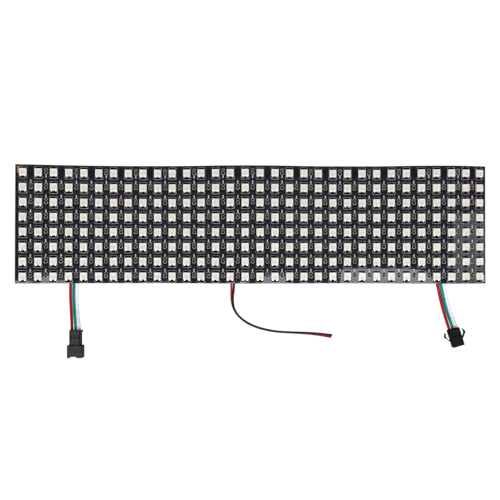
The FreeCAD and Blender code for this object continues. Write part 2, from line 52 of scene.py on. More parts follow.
# The waves start at a slope in degrees. Each pair is a run, counted in pitches, and its turn in degrees.
FIRST_SLOPE = -9.5
WAVES = (
    (3.5, 0), (4.5, 9.5), (1.8, 0), (3, 9.5), (6, -19),
    (3, 9.5), (2, 0), (2, 10), (3.2, -10), (3, -17),
)
STEPS_PER_PITCH = 40
SHEET_DIVISIONS = (320, 40)
FILM = (26, 25, 30)
FILM_OVER_COPPER = (36, 35, 41)
FILM_WORN = (40, 39, 45)
# Near black: the bare laminate at the gilt pads, painted shade inside each LED's frame, and the darkening
# round the capacitors
BARE_LAMINATE_AND_SHADE = (5, 5, 6)

# The near edge turns down a little in six places. Each has its start and end along the sheet and the way
# in which it fades out, in millimetres, and its slope.
FOLD_ACROSS = -29.5 * MM
FOLD_FADES_IN = 2
FOLDS = (
    (0, 10, 4, 0.0048), (18, 23, 4, 0.0095), (27, 32, 6, 0.0048),
    (75, 145, 10, 0.0022), (168, 182, 4, 0.009), (222, 264, 26, 0.03),
)


class Wire:
    """An output of a node. Arithmetic on it adds Math nodes to the same tree."""

    def __init__(self, maker, node, socket):
        self.maker = maker
        self.node = node
        self.socket = socket

    def of(self, name):
        """Another output of the same node."""
        return Wire(self.maker, self.node, find_socket(self.node.outputs, name))

    def __add__(self, other):
        return self.maker.math("ADD", self, other)

    def __sub__(self, other):
        return self.maker.math("SUBTRACT", self, other)

    def __rsub__(self, other):
        return self.maker.math("SUBTRACT", other, self)

    def __mul__(self, other):
        return self.maker.math("MULTIPLY", self, other)

    def __truediv__(self, other):
        return self.maker.math("DIVIDE", self, other)

    def __mod__(self, other):
        return self.maker.math("FLOORED_MODULO", self, other)

    def __lt__(self, other):
        return self.maker.math("LESS_THAN", self, other)

    def __gt__(self, other):
        return self.maker.math("GREATER_THAN", self, other)

    def __abs__(self):
        return self.maker.math("ABSOLUTE", self)

    __radd__ = __add__
    __rmul__ = __mul__


def find_socket(sockets, name):
    """A socket by its place, its identifier or its name."""
    if isinstance(name, int):
        return sockets[name]
    for socket in sockets:
        if socket.identifier == name:
            return socket
    return sockets[name]


class Maker:
    """Adds nodes to one tree: first a node's settings, then the values or wires of its sockets."""

    def __init__(self, tree):
        self.tree = tree

    def add(self, kind, settings, sockets, out=0):
        node = self.tree.nodes.new(kind)
        for name, value in settings.items():
            setattr(node, name, value)
        self.feed(node, sockets)
        return Wire(self, node, find_socket(node.outputs, out) if node.outputs else None)

    def feed(self, node, sockets):
        for name, value in sockets.items():
            socket = find_socket(node.inputs, name)
            if isinstance(value, Wire):
                self.tree.links.new(value.socket, socket)
            else:
                socket.default_value = value

    def math(self, operation, *values):
        names = ("Value", "Value_001", "Value_002")
        return self.add("ShaderNodeMath", {"operation": operation}, dict(zip(names, values)))

    def vector(self, operation, *values):
        names = ("Vector", "Vector_001", "Vector_002")
        return self.add("ShaderNodeVectorMath", {"operation": operation}, dict(zip(names, values)))

    def scaled(self, vector, factor):
        return self.add("ShaderNodeVectorMath", {"operation": "SCALE"}, {"Vector": vector, "Scale": factor})

    def mix(self, factor, first, second):
        sockets = {"Factor_Float": factor, "A_Color": first, "B_Color": second}
        return self.add("ShaderNodeMix", {"data_type": "RGBA"}, sockets, "Result_Color")

    def fade(self, value, low, high):
        """0 up to low, 1 from high on, and smooth between."""
        sockets = {"Value": value, "From Min": low, "From Max": high}
        return self.add("ShaderNodeMapRange", {"interpolation_type": "SMOOTHSTEP"}, sockets)

    def noise(self, vector, scale, detail=2.0):
        sockets = {"Vector": vector, "Scale": scale, "Detail": detail}
        return self.add("ShaderNodeTexNoise", {}, sockets, "Fac")

    def object_place(self):
        return self.add("ShaderNodeTexCoord", {}, {}, "Object")

    def bump(self, height, depth):
        return self.add("ShaderNodeBump", {}, {"Height": height, "Distance": depth, "Strength": 1.0})


def colour(red, green, blue):
    """A shader colour from the 0 to 255 that a picture would show."""
    shown = [value / 255 for value in (red, green, blue)]
    return [v / 12.92 if v <= 0.04045 else ((v + 0.055) / 1.055) ** 2.4 for v in shown] + [1.0]


def new_finish(name, **even):
    """A material, with its even values set on the shader's own sockets."""
    material = bpy.data.materials.new(name)
    material.use_nodes = True
    shader = material.node_tree.nodes["Principled BSDF"]
    for socket, value in even.items():
        shader.inputs[socket.replace("_", " ")].default_value = value
    return material, Maker(material.node_tree), shader


def draw_wave_profile():
    """The back of the sheet seen edge-on, and the same points for Python."""
    slope = math.radians(FIRST_SLOPE)
    points = [Vector((0, 0, 0))]
    for run, turn in WAVES:
        steps = round(run * STEPS_PER_PITCH)
        half_turn = math.radians(turn) / steps / 2
        for _ in range(steps):
            slope += half_turn
            heading = Vector((math.cos(slope), 0, math.sin(slope)))
            points.append(points[-1] + heading * (PITCH * run / steps))
            slope += half_turn
    shift = Vector((-points[-1].x / 2, 0, -min(point.z for point in points)))
    points = [point + shift for point in points]
    curve = bpy.data.curves.new("wave_profile", "CURVE")
    curve.dimensions = "3D"
    spline = curve.splines.new("POLY")
    spline.points.add(len(points) - 1)
    for place, point in zip(spline.points, points):
        place.co = (*point, 1)
    profile = bpy.data.objects.new("wave_profile", curve)
    bpy.context.scene.collection.objects.link(profile)
    return profile, points


def near_edge_fold(maker, along, across):
    """How far the sheet is lifted where its near edge turns down a little, a run of it at a time."""
    near = maker.math("MINIMUM", across - FOLD_ACROSS, 0)
    far = maker.math("MAXIMUM", across - FOLD_ACROSS, 0)
    near_run = ROWS * PITCH / 2 + FOLD_ACROSS
    far_run = ROWS * PITCH / 2 - FOLD_ACROSS
    ridge = near + near_run - far * (near_run / far_run)
    lift = 0
    for start, end, fading, tilt in FOLDS:
        begun = maker.fade(along, (start - FOLD_FADES_IN) * MM, start * MM)
        ended = maker.fade(along, end * MM, (end + fading) * MM)
        lift = begun * (1 - ended) * tilt + lift
    return lift * ridge


def make_laying_tree():
    """Repeats a flat shape in columns and rows, and lays the lot over the waves of a profile curve."""
    tree = bpy.data.node_groups.new("laid_over_the_waves", "GeometryNodeTree")
    maker = Maker(tree)
    named = {}
    for name, kind in (
        ("Shape", "Geometry"), ("Profile", "Object"), ("Finish", "Material"), ("Columns", "Int"),
        ("Rows", "Int"), ("Column Pitch", "Float"), ("Row Pitch", "Float"), ("First Along", "Float"),
        ("First Across", "Float"), ("Height", "Float"), ("Thin First Row", "Float"), ("Slack", "Float"),
        ("Seed", "Int"),
    ):
        socket = tree.interface.new_socket(name, in_out="INPUT", socket_type=f"NodeSocket{kind}")
        named[name] = socket.identifier
    tree.interface.new_socket("Laid", in_out="OUTPUT", socket_type="NodeSocketGeometry")
    asked = maker.add("NodeGroupInput", {}, {})

    # A point for each copy, in columns and rows
    index = maker.add("GeometryNodeInputIndex", {}, {})
    column = index % asked.of("Columns")
    row = maker.math("FLOOR", index / asked.of("Columns"))
    along = asked.of("First Along") + column * asked.of("Column Pitch")
    across = asked.of("First Across") - row * asked.of("Row Pitch")
    place = maker.add("ShaderNodeCombineXYZ", {}, {"X": along, "Y": across, "Z": asked.of("Height")})
    count = asked.of("Columns") * asked.of("Rows")
    points = maker.add("GeometryNodePoints", {}, {"Count": count, "Position": place})
    left_out = (row < 0.5) * (column % 2 < 0.5) * asked.of("Thin First Row")

    # The copies, each slipped and twisted a little by its slack, and with a tone of its own
    slip = maker.add("FunctionNodeRandomValue", {"data_type": "FLOAT_VECTOR"},
                     {"Min": (-1, -1, -1), "Max": (1, 1, 1), "Seed": asked.of("Seed")}, 0)
    slid = maker.vector("MULTIPLY", maker.scaled(slip, asked.of("Slack")), (1, 1, 0))
    settled = maker.add("GeometryNodeSetPosition", {}, {"Geometry": points, "Offset": slid})
    turn = asked.of("Slack") / HALF_LED
    twisted = maker.vector("MULTIPLY", maker.scaled(slip, turn), (0, 0, 1))
    copies = maker.add("GeometryNodeInstanceOnPoints", {}, {
        "Points": settled, "Selection": 1 - left_out, "Instance": asked.of("Shape"), "Rotation": twisted})
    chance = maker.add("FunctionNodeRandomValue", {"data_type": "FLOAT"}, {"Seed": asked.of("Seed")}, 1)
    toned = maker.add("GeometryNodeStoreNamedAttribute", {"data_type": "FLOAT", "domain": "INSTANCE"},
                      {"Geometry": copies, "Name": "tone", "Value": chance})
    flat = maker.add("GeometryNodeRealizeInstances", {}, {"Geometry": toned})

    # The flat drawing keeps its place as an attribute, and then follows the waves and the fold
    position = maker.add("GeometryNodeInputPosition", {}, {})
    kept = maker.add("GeometryNodeStoreNamedAttribute", {"data_type": "FLOAT_VECTOR", "domain": "POINT"},
                     {"Geometry": flat, "Name": "flat_mm", "Value": maker.scaled(position, 1 / MM)})
    parts = maker.add("ShaderNodeSeparateXYZ", {}, {"Vector": position})
    profile = maker.add("GeometryNodeObjectInfo", {}, {"Object": asked.of("Profile")}, "Geometry")
    sampled = maker.add("GeometryNodeSampleCurve", {"mode": "LENGTH", "use_all_curves": True},
                        {"Curves": profile, "Length": parts.of("X")}, "Position")
    upright = maker.vector("CROSS_PRODUCT", sampled.of("Tangent"), (0, 1, 0))
    sideways = maker.add("ShaderNodeCombineXYZ", {}, {"Y": parts.of("Y")})
    raised = parts.of("Z") + near_edge_fold(maker, parts.of("X"), parts.of("Y"))
    lifted = maker.vector("ADD", sampled, maker.scaled(upright, raised))
    laid = maker.add("GeometryNodeSetPosition", {},
                     {"Geometry": kept, "Position": maker.vector("ADD", lifted, sideways)})
    coloured = maker.add("GeometryNodeSetMaterial", {}, {"Geometry": laid, "Material": asked.of("Finish")})
    maker.add("NodeGroupOutput", {}, {"Laid": coloured})
    return tree, named


def new_piece(name, mesh):
    piece = bpy.data.objects.new(name, mesh)
    bpy.context.scene.collection.objects.link(piece)
    return piece


def lay(name, mesh, finish, columns=1, rows=1, pitch=(PITCH, PITCH), first=(0, 0), height=0.0, thin=0.0,
        slack=0.0, seed=0):
    """A finished piece, from a mesh drawn flat: X along the sheet, Y across it, Z up from its back."""
    piece = new_piece(name, mesh)
    modifier = piece.modifiers.new("laid", "NODES")
    modifier.node_group = laying_tree
    for socket, value in (
        ("Profile", profile), ("Finish", finish), ("Columns", columns), ("Rows", rows),
        ("Column Pitch", float(pitch[0])), ("Row Pitch", float(pitch[1])), ("First Along", float(first[0])),
        ("First Across", float(first[1])), ("Height", float(height)), ("Thin First Row", float(thin)),
        ("Slack", float(slack)), ("Seed", seed),
    ):
        modifier[laying_inputs[socket]] = value
    depsgraph = bpy.context.evaluated_depsgraph_get()
    made = bpy.data.meshes.new_from_object(piece.evaluated_get(depsgraph), depsgraph=depsgraph)
    piece.modifiers.remove(modifier)
    piece.data = made
    made.name = name
    return piece


def smooth(piece, sharpest=35):
    """Smooth shading, but for edges that turn more than an angle in degrees."""
    piece.data.shade_smooth()
    piece.data.set_sharp_from_angle(angle=math.radians(sharpest))


def plate(long, wide, thick, divisions):
    """A flat plate from X 0 and about Y 0, divided so that it can bend."""
    builder = bmesh.new()
    columns, rows = divisions
    layers = []
    for z in (0, thick):
        layers.append([[builder.verts.new((long * i / columns, wide * (j / rows - 0.5), z))
                        for j in range(rows + 1)] for i in range(columns + 1)])
    back, front = layers
    for i in range(columns):
        for j in range(rows):
            builder.faces.new((front[i][j], front[i + 1][j], front[i + 1][j + 1], front[i][j + 1]))
            builder.faces.new((back[i][j], back[i][j + 1], back[i + 1][j + 1], back[i + 1][j]))
        builder.faces.new((back[i][0], back[i + 1][0], front[i + 1][0], front[i][0]))
        builder.faces.new((front[i][rows], front[i + 1][rows], back[i + 1][rows], back[i][rows]))
    for j in range(rows):
        builder.faces.new((back[0][j], front[0][j], front[0][j + 1], back[0][j + 1]))
        builder.faces.new((front[-1][j], back[-1][j], back[-1][j + 1], front[-1][j + 1]))
    return to_mesh(builder, "plate")


def to_mesh(builder, name):
    mesh = bpy.data.meshes.new(name)
    builder.to_mesh(mesh)
    builder.free()
    return mesh


def cover_film_finish():
    """Glossy black film over copper, whose tracks look a touch paler. It is open at the gilt pads, painted
    near black inside each LED's frame as painted shade, and darkened round the capacitors.
    """
    film, maker, shader = new_finish("cover_film", Specular_IOR_Level=0.0, Coat_Roughness=0.03)
    flat = maker.add("ShaderNodeAttribute", {"attribute_name": "flat_mm"}, {}, "Vector")
    spot = maker.add("ShaderNodeSeparateXYZ", {}, {"Vector": flat})
    cell = PITCH / MM
    along = spot.of("X") % cell
    across = spot.of("Y") % cell
    gap_x = abs(along - cell * (along > cell / 2))
    gap_y = abs(across - cell * (across > cell / 2))
    bus = 1 - maker.fade(abs(gap_y - 1.1), 0.85, 1.0)
    track = (1 - maker.fade(abs(gap_x - 1.55), 0.1, 0.2)) * maker.fade(gap_y, 2.2, 2.4)
    copper = maker.math("MAXIMUM", bus, track)
    cloud = maker.noise(flat, 0.12, 2.0)
    grain = maker.noise(flat, 6.0, 2.0)
    relief = copper * 0.006 + cloud * 0.03 + grain * 0.0008
    dark = maker.mix(copper * 0.8, colour(*FILM), colour(*FILM_OVER_COPPER))
    worn = maker.mix(maker.fade(cloud, 0.35, 0.75) * 0.3, dark, colour(*FILM_WORN))

    # Near black with little coat: inside each LED's frame as painted shade cast by the LED, round the
    # capacitors but for the first row's, and where the film is open at the gilt pads
    # Painted shade: the film inside each LED's frame is made near black, as the LED's shadow.
    led_frame_painted_shade = (1 - maker.fade(abs(along - 5), 2.4, 2.6)) * (1 - maker.fade(abs(across - 4.7), 3.9, 4.1))
    chip_surround_dark = (1 - maker.fade(gap_x, 0.8, 0.95)) * (1 - maker.fade(abs(across - 5.85), 1.55, 1.75))
    pad_opening = 1 - maker.fade(abs(spot.of("Y") + 36.6), 2.5, 2.7)
    opening_and_shade = maker.math("MAXIMUM", led_frame_painted_shade, chip_surround_dark * (spot.of("Y") < 30))
    opening_and_shade = maker.math("MAXIMUM", opening_and_shade, pad_opening * (spot.of("X") > COLUMNS * cell - 2.1))
    maker.feed(shader, {
        "Base Color": maker.mix(opening_and_shade, worn, colour(*BARE_LAMINATE_AND_SHADE)),
        "Coat Weight": 1 - opening_and_shade * 0.9,
        "Roughness": 0.42 + grain * 0.16,
        "Normal": maker.bump(relief, MM),
    })
    return film


def along_at(x):
    """How far along the sheet its back is at x."""
    steps = next(number for number, point in enumerate(wave_points) if point.x >= x)
    return steps * PITCH / STEPS_PER_PITCH


profile, wave_points = draw_wave_profile()
laying_tree, laying_inputs = make_laying_tree()
circuit = lay("circuit_sheet", plate(COLUMNS * PITCH, ROWS * PITCH, SHEET_THICK, SHEET_DIVISIONS),
              cover_film_finish())
smooth(circuit)
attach(circuit, "root")
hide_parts("flex_circuit")


# The printed outlines
# White ink, screen printed on the cover film: two brackets round each LED with a dot at its first pin, two
# half rings round each capacitor, and a short bar beyond it where the real sheet has its tiny reference
# mark. The sizes are in millimetres, from the middle of the LED or of the capacitor.

INK_THICK = 0.02 * MM
FRAME_INK_WIDE = 0.13
RING_INK_WIDE = 0.17
LED_FRAME_WIDE = 5.25
LED_FRAME_FAR = 3.78
LED_FRAME_NEAR = -4.36
LED_FRAME_OPEN = 2.35
PIN_DOT = 0.25
RING_WIDE = 2.0
RING_FAR = 1.85
RING_NEAR = -2.05
RING_GAP = 0.4
RING_RISE = 0.85
BAR = (0.62, 0.5, 1.83)
BAR_RISE = 3.87
FIRST_ROW_BAR_RISE = -2.6


def corner(x, y, radius, start, steps):
    """Points round one corner, from a bearing in degrees and a quarter turn clockwise."""
    middle_x = x - math.copysign(radius, x)
    middle_y = y - math.copysign(radius, y)
    turns = [math.radians(start - 90 * step / steps) for step in range(steps + 1)]
    return [(middle_x + radius * math.cos(turn), middle_y + radius * math.sin(turn)) for turn in turns]


def ink_line(builder, points, wide):
    """An open printed line of even width through points in millimetres."""
    rims = []
    for number, point in enumerate(points):
        here = Vector(point)
        arriving = (here - Vector(points[max(number, 1) - 1])).normalized()
        leaving = (Vector(points[min(number + 1, len(points) - 1)]) - here).normalized()
        if number == 0:
            arriving = leaving
        if number == len(points) - 1:
            leaving = arriving
        normal = Vector((-arriving.y - leaving.y, arriving.x + leaving.x)).normalized()
        reach = wide / 2 / max(0.4, normal.dot(Vector((-arriving.y, arriving.x))))
        rims.append([builder.verts.new(((here + normal * side * reach) * MM).to_3d() + Vector((0, 0, z)))
                     for side, z in ((-1, 0), (-1, INK_THICK), (1, INK_THICK), (1, 0))])
    for rim, following in zip(rims, rims[1:]):
        for side in range(4):
            builder.faces.new((rim[side], following[side], following[side - 3], rim[side - 3]))
    builder.faces.new(rims[0])
    builder.faces.new(rims[-1][::-1])


def ink_patch(builder, corners):
    """A filled printed shape, its corners anticlockwise in millimetres."""
    low, high = ([builder.verts.new((x * MM, y * MM, z)) for x, y in corners] for z in (0, INK_THICK))
    builder.faces.new(high)
    builder.faces.new(low[::-1])
    for number in range(len(corners)):
        following = (number + 1) % len(corners)
        builder.faces.new((low[number], low[following], high[following], high[number]))


def led_frame_shape():
    builder = bmesh.new()
    half_x = LED_FRAME_WIDE / 2
    open_end = LED_FRAME_OPEN
    far = corner(-half_x, LED_FRAME_FAR, 0.5, 180, 2) + corner(half_x, LED_FRAME_FAR, 0.5, 90, 2)
    ink_line(builder, [(-half_x, open_end)] + far + [(half_x, open_end)], FRAME_INK_WIDE)
    near = corner(half_x, LED_FRAME_NEAR, 0.6, 0, 2) + corner(-half_x, LED_FRAME_NEAR, 0.6, -90, 2)
    ink_line(builder, [(half_x, -open_end)] + near + [(-half_x, -open_end)], FRAME_INK_WIDE)
    right, low = half_x - 0.2, LED_FRAME_NEAR + 0.3
    left, high = right - PIN_DOT, low + PIN_DOT
    ink_patch(builder, [(left, low), (right, low), (right, high), (left, high)])
    bmesh.ops.recalc_face_normals(builder, faces=builder.faces)
    return to_mesh(builder, "led_frame")


def capacitor_mark_shape(bar_rise):
    """The half rings, which stand a little beyond the middle of the gap, and the bar."""
    builder = bmesh.new()
    half_x = RING_WIDE / 2
    far = corner(-half_x, RING_FAR, 0.8, 180, 3) + corner(half_x, RING_FAR, 0.8, 90, 3)
    near = corner(half_x, RING_NEAR, 0.4, 0, 2) + corner(-half_x, RING_NEAR, 0.4, -90, 2)
    for half_ring, end in ((far, RING_GAP), (near, -RING_GAP)):
        with_ends = [(half_ring[0][0], end)] + half_ring + [(half_ring[-1][0], end)]
        ink_line(builder, [(x, y + RING_RISE) for x, y in with_ends], RING_INK_WIDE)
    top, foot, tall = BAR
    low, high = bar_rise - tall / 2, bar_rise + tall / 2
    ink_patch(builder, [(-foot / 2, low), (foot / 2, low), (top / 2, high), (-top / 2, high)])
    bmesh.ops.recalc_face_normals(builder, faces=builder.faces)
    return to_mesh(builder, "capacitor_mark")


def bracket_shape():
    """The corner mark on the near edge, where the power pair comes out."""
    builder = bmesh.new()
    left, right = along_at(-8.9 * MM) / MM, along_at(-5.2 * MM) / MM
    low, middle, high = -39.5, -39.2, -37.8
    inner = right - (middle - low)
    ink_patch(builder, [(left, low), (right, low), (right, middle), (left, middle)])
    ink_patch(builder, [(inner, middle), (right, middle), (right, high), (inner, high)])
    return to_mesh(builder, "bracket")


def ink_finish():
    ink, maker, shader = new_finish("white_ink", Roughness=0.6)
    spots = maker.noise(maker.object_place(), 2600, 2.0)
    maker.feed(shader, {
        "Base Color": maker.mix(maker.fade(spots, 0.3, 0.7), colour(196, 196, 200), colour(226, 226, 228)),
        "Normal": maker.bump(spots, 0.01 * MM),
    })
    return ink


ink = ink_finish()
FIRST_LED = (PITCH / 2, (ROWS - 1) / 2 * PITCH)
GRID = {"columns": COLUMNS, "rows": ROWS, "first": FIRST_LED}
GAPS = {"columns": COLUMNS - 1, "rows": ROWS - 1, "first": (PITCH, FIRST_LED[1] - PITCH)}
FIRST_ROW_GAPS = {
    "columns": COLUMNS // 2 - 1,
    "first": (2 * PITCH, FIRST_LED[1]),
    "pitch": (2 * PITCH, PITCH),
}
for name, shape, places in (
    ("led_frame_print", led_frame_shape(), GRID),
    ("capacitor_print", capacitor_mark_shape(BAR_RISE), GAPS),
    ("first_row_capacitor_print", capacitor_mark_shape(FIRST_ROW_BAR_RISE), FIRST_ROW_GAPS),
    ("bracket_print", bracket_shape(), {}),
):
    printed = lay(name, shape, ink, height=SHEET_THICK, **places)
    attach(printed, "root")


# The LEDs
# Square white packages of the common 5 mm size, drawn a little smaller so that they stay inside it wherever
# their slack puts them. Each is a moulded housing round a metal lead frame, its hollow filled with clear
# resin over the chips, and it is soldered down by two leads on its near side and two on its far.

LED_SEAT = SHEET_THICK + 0.08 * MM
PLACED = {"slack": 0.06 * MM, "seed": 3}
LED_NODES = [f"led_row_{row + 1}" for row in range(ROWS)]
RING_POINTS = 16


def ring_of(half, squareness, z, cut=0.0):
    """Points round a square whose corners are rounded more the lower its squareness. One can be cut."""
    points = []
    for number in range(RING_POINTS):
        turn = 2 * math.pi * number / RING_POINTS
        c, s = math.cos(turn), math.sin(turn)
        reach = half * (abs(c) ** squareness + abs(s) ** squareness) ** (-1 / squareness)
        if cut and number == 5 * RING_POINTS // 8:
            reach -= cut
        points.append(Vector((reach * c, reach * s, z)) * MM)
    return points


def tower(builder, rings):
    """A skin through rings of equal count from the foot up, with the first and last one closed."""
    levels = [[builder.verts.new(point) for point in ring] for ring in rings]
    for low, high in zip(levels, levels[1:]):
        for number in range(len(low)):
            following = (number + 1) % len(low)
            builder.faces.new((low[number], low[following], high[following], high[number]))
    builder.faces.new(levels[0][::-1])
    builder.faces.new(levels[-1])


def led_housing_shape():
    builder = bmesh.new()
    tower(builder, [
        ring_of(2.42, 60, 0), ring_of(2.36, 40, 1.48), ring_of(2.26, 30, 1.6, cut=0.4),
        ring_of(1.8, 6, 1.6), ring_of(1.62, 8, 1.52), ring_of(1.55, 8, 1.3),
    ])
    return to_mesh(builder, "led_housing")


def led_window_shape():
    builder = bmesh.new()
    tower(builder, [ring_of(1.58, 8, 1.36), ring_of(1.6, 8, 1.53), ring_of(1.0, 4, 1.51)])
    bmesh.ops.recalc_face_normals(builder, faces=builder.faces)
    return to_mesh(builder, "led_window")


def led_lead_shape():
    """Four leads, each with its fillet of solder down to the sheet."""
    builder = bmesh.new()
    for side, reach in ((-1, 3.04), (1, 2.66)):
        for middle in (-1.42, 1.42):
            outline = [(2.3, 0), (2.3, 0.6), (2.5, 0.56),
                       (reach - 0.04, 0.36), (reach, 0.1), (reach + 0.04, 0)]
            skins = []
            for edge in (-0.34, 0.34):
                skins.append([builder.verts.new(Vector((middle + edge, side * y, z - 0.08)) * MM)
                              for y, z in outline])
            left, right = skins
            builder.faces.new(left)
            builder.faces.new(right[::-1])
            for number in range(len(outline)):
                following = (number + 1) % len(outline)
                builder.faces.new((left[number], right[number], right[following], left[following]))
    bmesh.ops.recalc_face_normals(builder, faces=builder.faces)
    return to_mesh(builder, "led_leads")


def housing_finish():
    white, maker, shader = new_finish("white_housing")
    tone = maker.add("ShaderNodeAttribute", {"attribute_name": "tone"}, {}, "Fac")
    grain = maker.noise(maker.object_place(), 3000, 2.0)
    maker.feed(shader, {
        "Base Color": maker.mix(tone, colour(238, 233, 227), colour(243, 236, 226)),
        "Roughness": 0.36 + grain * 0.14,
        "Normal": maker.bump(grain, 0.01 * MM),
    })
    return white


def resin_finish():
    """Clear resin over a pale lead frame, whose two slots, the driver chip and two dies show through."""
    resin, maker, shader = new_finish("window_resin", Roughness=0.3, Coat_Weight=0.3, Coat_Roughness=0.06)
    tone = maker.add("ShaderNodeAttribute", {"attribute_name": "tone"}, {}, "Fac")
    flat = maker.add("ShaderNodeAttribute", {"attribute_name": "flat_mm"}, {}, "Vector")
    spot = maker.add("ShaderNodeSeparateXYZ", {}, {"Vector": flat})
    cell = PITCH / MM
    x = spot.of("X") % cell - cell / 2
    y = spot.of("Y") % cell - cell / 2
    edge = maker.fade(maker.math("MAXIMUM", abs(x), abs(y)), 1.35, 1.6)

    blur = 0.06

    def chip(left, low, half_x, half_y):
        inside_x = 1 - maker.fade(abs(x - left), half_x, half_x + blur)
        inside_y = 1 - maker.fade(abs(y - low), half_y, half_y + blur)
        return inside_x * inside_y

    pale = maker.mix(tone, colour(227, 217, 205), colour(232, 221, 205))
    rimmed = maker.mix(edge * 0.5, pale, colour(182, 168, 156))
    slots = (1 - maker.fade(abs(abs(x) - 0.95), 0.04, 0.12)) * 0.3
    slotted = maker.mix(slots, rimmed, colour(170, 156, 140))
    driver = maker.mix(chip(0.0, -0.4, 0.15, 0.25) * 0.7, slotted, colour(128, 108, 96))
    dies = maker.math("MAXIMUM", chip(-0.75, -0.2, 0.12, 0.12), chip(0.75, -0.3, 0.12, 0.12))
    maker.feed(shader, {"Base Color": maker.mix(dies * 0.5, driver, colour(176, 142, 96))})
    return resin


def tin_finish(name, dark, light, smoothest):
    """Tin and solder: grey metal, its skin uneven where it froze."""
    tin, maker, shader = new_finish(name, Metallic=1.0)
    frozen = maker.noise(maker.object_place(), 1800, 3.0)
    maker.feed(shader, {
        "Base Color": maker.mix(frozen, colour(*dark), colour(*light)),
        "Roughness": smoothest + frozen * 0.2,
        "Normal": maker.bump(frozen, 0.03 * MM),
    })
    return tin


tin = tin_finish("tin", (180, 180, 182), (208, 208, 208), 0.22)
# The capacitors' tinned ends: tin painted near black, as painted shade for their dark look.
tin_painted_as_shade = tin_finish("tin_painted_as_shade", (24, 23, 23), (38, 36, 35), 0.08)
housings = lay("led_housings", led_housing_shape(), housing_finish(), height=LED_SEAT, **GRID, **PLACED)
windows = lay("led_windows", led_window_shape(), resin_finish(), height=LED_SEAT, **GRID, **PLACED)
led_leads = lay("led_leads", led_lead_shape(), tin, height=LED_SEAT, **GRID, **PLACED)
for piece in (housings, windows, led_leads):
    smooth(piece, 40)
    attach(piece, "root")
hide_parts(*LED_NODES)


# The capacitors
# A small ceramic chip stands in each gap between two LEDs, its two tinned ends soldered down. In the far
# row only every other gap has one.

CHIP_SEAT = SHEET_THICK + 0.05 * MM
CAPACITOR_NODES = [f"capacitor_row_{row + 1}" for row in range(ROWS)]


def block(builder, middle, half, low, high, edge=0.06):
    """A small block with its upper edges taken off."""
    x, y = middle
    half_x, half_y = half

    def ring(inset, z):
        return [Vector((x + (half_x - inset) * i, y + (half_y - inset) * j, z)) * MM
                for i, j in ((-1, -1), (1, -1), (1, 1), (-1, 1))]

    tower(builder, [ring(0, low), ring(0, high - edge), ring(edge, high)])


def capacitor_body_shape():
    builder = bmesh.new()
    block(builder, (0, 0), (0.38, 0.42), 0.02, 0.76)
    return to_mesh(builder, "capacitor_body")


def capacitor_end_shape():
    builder = bmesh.new()
    for side in (-1, 1):
        block(builder, (0, side * 0.6), (0.4, 0.2), 0, 0.8, 0.03)
        fillet = [(0.8, 0.55), (0.92, 0.18), (1.12, -0.05), (0.8, -0.05)]
        skins = [[builder.verts.new(Vector((edge, side * y, z)) * MM) for y, z in fillet]
                 for edge in (-0.42, 0.42)]
        left, right = skins
        builder.faces.new(left)
        builder.faces.new(right[::-1])
        for number in range(4):
            following = (number + 1) % 4
            builder.faces.new((left[number], right[number], right[following], left[following]))
    bmesh.ops.recalc_face_normals(builder, faces=builder.faces)
    return to_mesh(builder, "capacitor_ends")


def ceramic_finish():
    ceramic, maker, shader = new_finish("chip_ceramic", Roughness=0.45)
    tone = maker.add("ShaderNodeAttribute", {"attribute_name": "tone"}, {}, "Fac")
    speck = maker.noise(maker.object_place(), 6000, 2.0)
    fired = maker.mix(tone, colour(142, 138, 134), colour(162, 154, 146))
    maker.feed(shader, {
        "Base Color": maker.mix(speck * 0.3, fired, colour(146, 132, 120)),
        "Normal": maker.bump(speck, 0.01 * MM),
    })
    return ceramic


CHIPS = {
    "columns": COLUMNS - 1,
    "rows": ROWS,
    "first": (PITCH, FIRST_LED[1] + RING_RISE * MM),
    "height": CHIP_SEAT,
    "thin": 1.0,
}
bodies = lay("capacitor_bodies", capacitor_body_shape(), ceramic_finish(), **CHIPS, **PLACED)
ends = lay("capacitor_ends", capacitor_end_shape(), tin_painted_as_shade, **CHIPS, **PLACED)
for piece in (bodies, ends):
    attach(piece, "root")
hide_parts(*CAPACITOR_NODES)


# The edge pads
# Bare contact pads near two corners of the sheet: copper ones at the far left corner, and gilt ones at the
# near right corner, where its cover film is left open.


def pad_shape(half_x, half_y):
    builder = bmesh.new()
    rings = [ring_of(1, 4, 0), ring_of(1, 4, 0.03), ring_of(0.55, 3, 0.2)]
    tower(builder, [[point * Vector((half_x, half_y, 1)) for point in ring] for ring in rings])
    return to_mesh(builder, "edge_pad")


def bare_metal_finish(name, bright, dull):
    """Thin bare metal, dulled by the air and stained a little."""
    metal, maker, shader = new_finish(name, Metallic=0.15, Roughness=0.4)
    stain = maker.noise(maker.object_place(), 1500, 3.0)
    maker.feed(shader, {"Base Color": maker.mix(stain, colour(*bright), colour(*dull))})
    return metal


bare_copper = bare_metal_finish("bare_copper", (255, 220, 176), (240, 160, 100))
gilt = bare_metal_finish("gilt", (255, 250, 222), (255, 232, 176))
copper_pads = lay("copper_edge_pads", pad_shape(0.62, 0.38), bare_copper, height=SHEET_THICK, rows=3,
                  pitch=(PITCH, 1.62 * MM), first=(1.85 * MM, 38.3 * MM))
gilt_pads = lay("gilt_edge_pads", pad_shape(0.52, 0.42), gilt, height=SHEET_THICK, rows=3,
                pitch=(PITCH, 1.6 * MM), first=(COLUMNS * PITCH - 1.3 * MM, -35.0 * MM))
for piece in (copper_pads, gilt_pads):
    smooth(piece)
    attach(piece, "root")


# The leads' cores
# Stranded copper in a soft coloured skin. Each starts at its solder under the near edge, bends down to the
# table and ends in a connector, or cut off square. The routes are those of the solid model, in metres, with
# some points moved by up to 1.4 mm to lie as the real cores do. Before its route stand a core's diameter and
# its length in the solid model.

